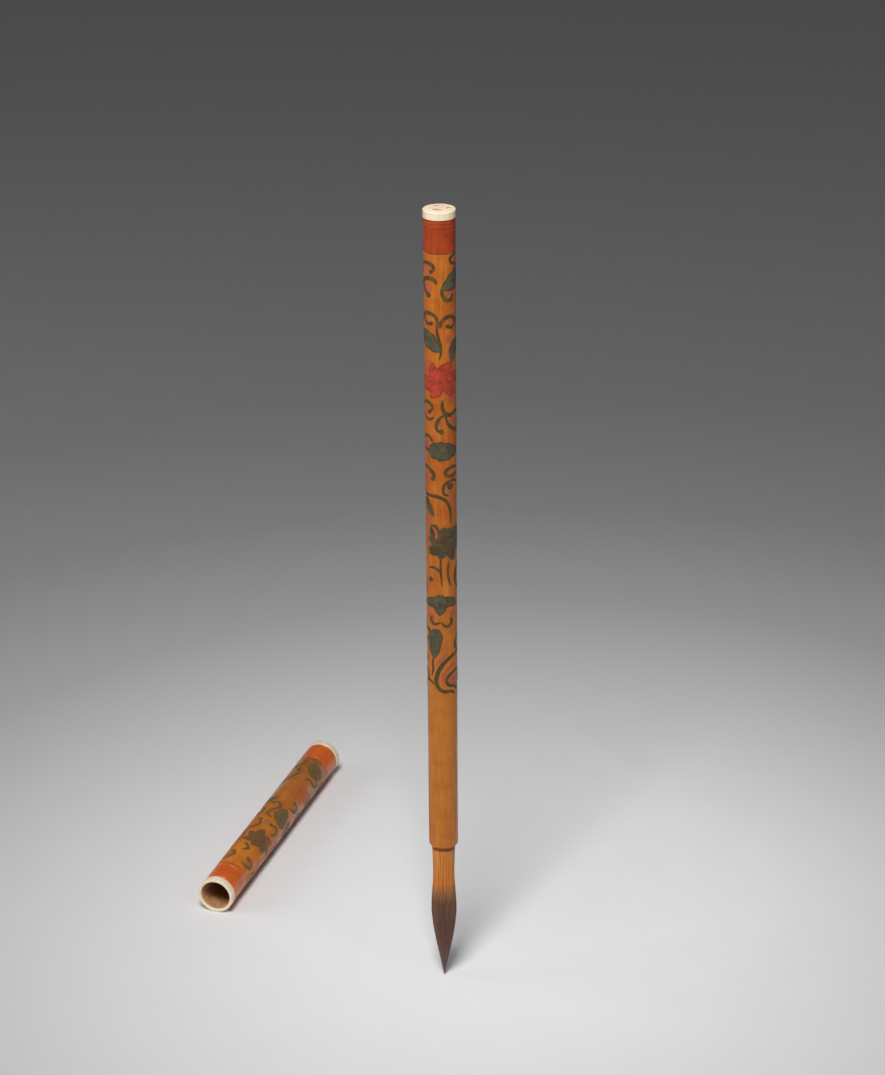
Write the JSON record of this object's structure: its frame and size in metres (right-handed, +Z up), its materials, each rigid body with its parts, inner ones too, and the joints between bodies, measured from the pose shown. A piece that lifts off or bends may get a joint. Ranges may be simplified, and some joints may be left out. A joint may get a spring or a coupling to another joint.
{
  "type": "writing brush with cap",
  "caption": "Slim lacquered writing brush standing on the tip of its hair tuft, with ivory-coloured ends and a separate open-mouthed tube cap lying beside it.",
  "frame": {"origin": "the tip of the tuft, where the standing brush touches the table", "axes": "+Z up along the brush to its ivory top; the cap lies on the table along +Y from its open mouth to its closed end, at -X of the brush"},
  "size_m": [0.0946, 0.1255, 0.2518],
  "materials": {
    "cane": "bare turned cane, warm brown, fine lengthwise fibres",
    "plain_lacquer": "plain ochre lacquer coat, satin gloss, slightly worn",
    "painted_lacquer": "ochre-red lacquer coat painted with green and dark scrolling leaves and with red and dark flowers",
    "red_lacquer": "orange-red lacquer with fine turned rings, satin gloss",
    "ivory": "polished ivory colour with faint grain, stained red in places on the brush's top",
    "root_hair": "amber animal hair set in glue",
    "tuft_hair": "straight animal hair, amber under the barrel and dark brown with a greyish tip",
    "heart_hair": "stiffer dark brown animal hair",
    "resin": "dark brown setting resin",
    "thread": "dark waxed binding thread"
  },
  "bodies": {
    "brush": {"barrel_core": "cane", "grip_lacquer": "plain_lacquer", "painted_lacquer": "painted_lacquer", "red_band": "red_lacquer", "ivory_top": "ivory", "hair_root": "root_hair", "root_resin": "resin"},
    "tuft": {"covering_hair": "tuft_hair", "heart_hair": "heart_hair", "neck_binding": "thread"},
    "cap": {"cap_core": "cane", "cap_mouth_band": "red_lacquer", "cap_painted_lacquer": "painted_lacquer", "cap_end_band": "red_lacquer", "cap_mouth_ring": "ivory", "cap_end_plug": "ivory"}
  },
  "joints": [
    {"name": "tuft_bend", "type": "hinge", "parent": "brush", "child": "tuft", "pos_m": [0, 0, 0.0466], "axis": [0, 1, 0], "range_deg": [-30, 30], "stiffness_Nm_per_rad": 0.006},
    {"name": "cap_slide", "type": "slide", "parent": "brush", "child": "cap", "axis": [0, 1, 0], "range_m": [0, 0.1]}
  ]
}
